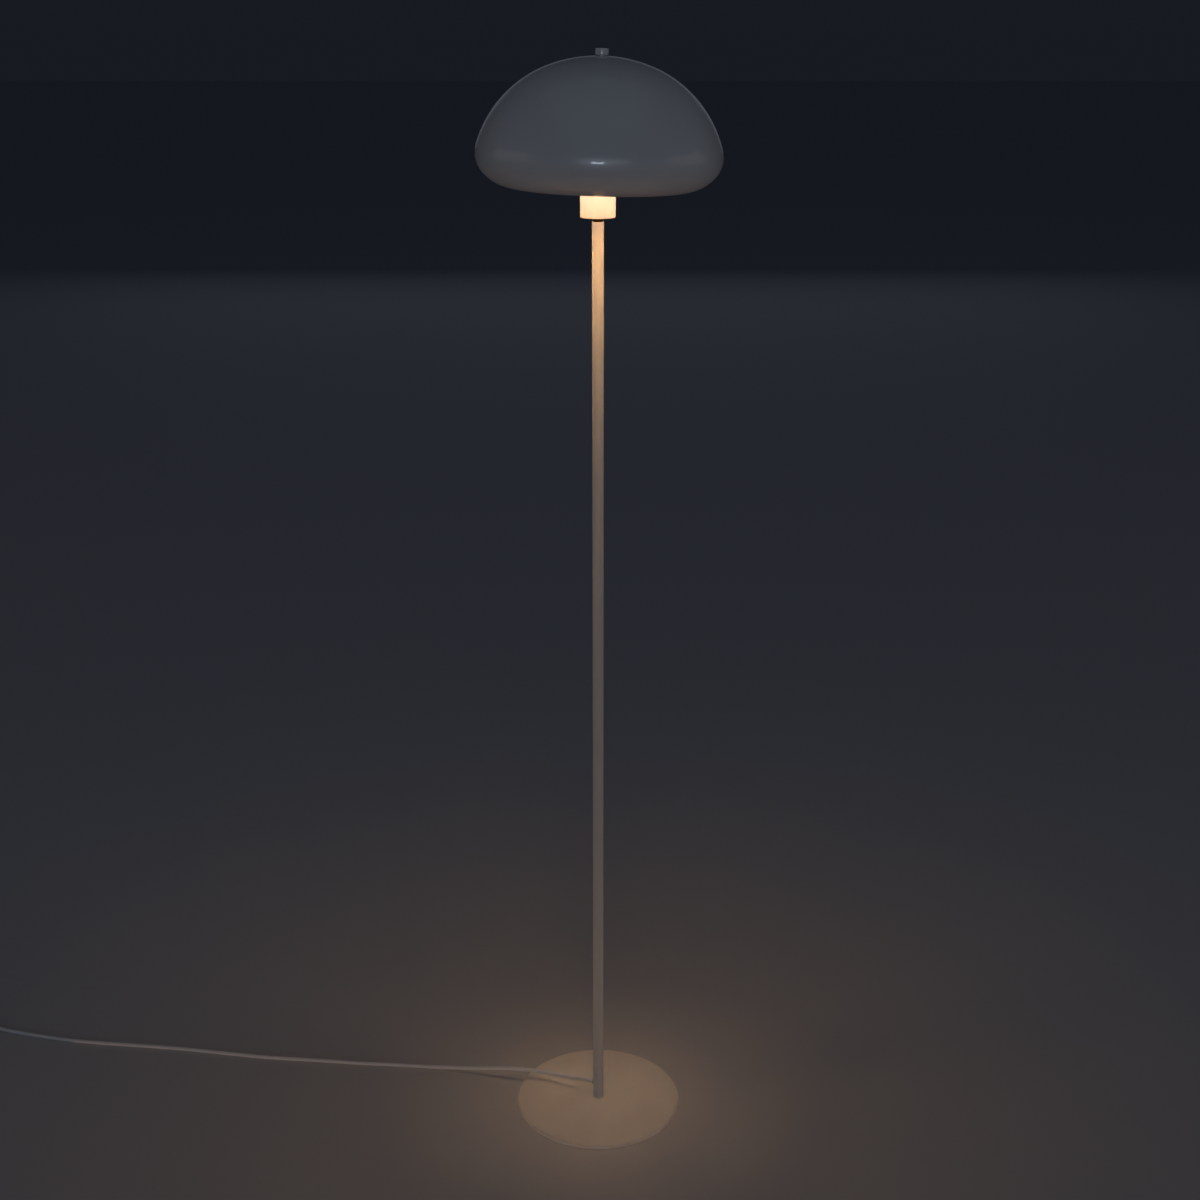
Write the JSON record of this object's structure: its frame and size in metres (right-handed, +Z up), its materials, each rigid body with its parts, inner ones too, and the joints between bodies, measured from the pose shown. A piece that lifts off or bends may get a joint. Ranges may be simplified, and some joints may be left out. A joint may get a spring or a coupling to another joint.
{
  "type": "mushroom floor lamp",
  "caption": "Floor lamp: a mushroom-shaped metal dome shade over a small opal cylinder, on a thin straight pole with a flat round base and a mains cord that leaves at its foot.",
  "frame": {"origin": "on the floor, in the middle of the underside of the round base", "axes": "+Z up along the pole, -Y towards the front from which the picture was taken, +X to the right, the side to which the shade leans; the cord leaves towards -X"},
  "size_m": [1.3802, 0.3887, 1.5015],
  "materials": {
    "white_lacquer": "gloss",
    "white_paint": "satin",
    "black_foam": "matte",
    "zinc_steel": "satin",
    "dark_steel": "satin",
    "white_rubber": "satin",
    "silicone": "satin",
    "opal_glass": "satin",
    "bulb_glass": "gloss",
    "white_resin": "matte",
    "brass": "satin",
    "core_sleeve_blue": "satin",
    "cord_white": "satin",
    "white_plastic": "satin",
    "grey_plastic": "matte",
    "black_strap": "matte"
  },
  "bodies": {
    "stand": {"base_foam": "black_foam", "base_plate": "white_paint", "base_screw": "zinc_steel", "pole_foot": "zinc_steel", "pole_tube": "white_paint", "cord_grommet": "white_rubber", "pole_wires": "core_sleeve_blue", "pole_neck": "dark_steel", "hollow_nipple": "zinc_steel", "glass_gaskets": "silicone", "diffuser_glass": "opal_glass", "glass_washer": "zinc_steel", "glass_nut": "zinc_steel", "swivel_cup": "zinc_steel", "swivel_ring": "zinc_steel", "cord_to_switch": "cord_white", "switch_base": "white_plastic", "switch_cover": "white_plastic", "switch_screws": "zinc_steel", "switch_feet": "black_foam", "switch_core": "grey_plastic", "switch_boots": "white_rubber", "cord_to_coil": "cord_white", "cord_coil": "cord_white", "coil_tie": "black_strap", "cord_to_plug": "cord_white", "plug_body": "white_plastic", "plug_pins": "brass", "plug_sleeves": "grey_plastic"},
    "carrier": {"swivel_ball": "zinc_steel", "carrier_frame": "zinc_steel", "carrier_nut": "zinc_steel", "lamp_holder": "white_resin", "holder_core": "white_resin", "middle_contact": "brass", "holder_sleeve": "brass", "holder_leads": "core_sleeve_blue", "bulb_cap": "zinc_steel", "bulb_globe": "bulb_glass", "carrier_stud": "zinc_steel", "shade_seat": "zinc_steel"},
    "shade": {"shade": "white_lacquer"},
    "knob": {"finial_knob": "white_lacquer"},
    "button": {"switch_button": "white_plastic"}
  },
  "joints": [
    {"name": "shade_lean", "type": "hinge", "parent": "stand", "child": "carrier", "pos_m": [0, 0, 1.3183], "axis": [0, 1, 0], "range_deg": [-5.1, 1.9]},
    {"name": "shade_turn", "type": "hinge", "parent": "carrier", "child": "shade", "pos_m": [0, 0, 1.3183], "axis": [0.0279, 0, 0.9996], "continuous": true},
    {"name": "knob_turn", "type": "hinge", "parent": "carrier", "child": "knob", "pos_m": [0, 0, 1.3183], "axis": [0.0279, 0, 0.9996], "continuous": true},
    {"name": "switch_press", "type": "slide", "parent": "stand", "child": "button", "axis": [0, 0, -1], "range_m": [0, 0.003], "stiffness_N_per_m": 600}
  ]
}
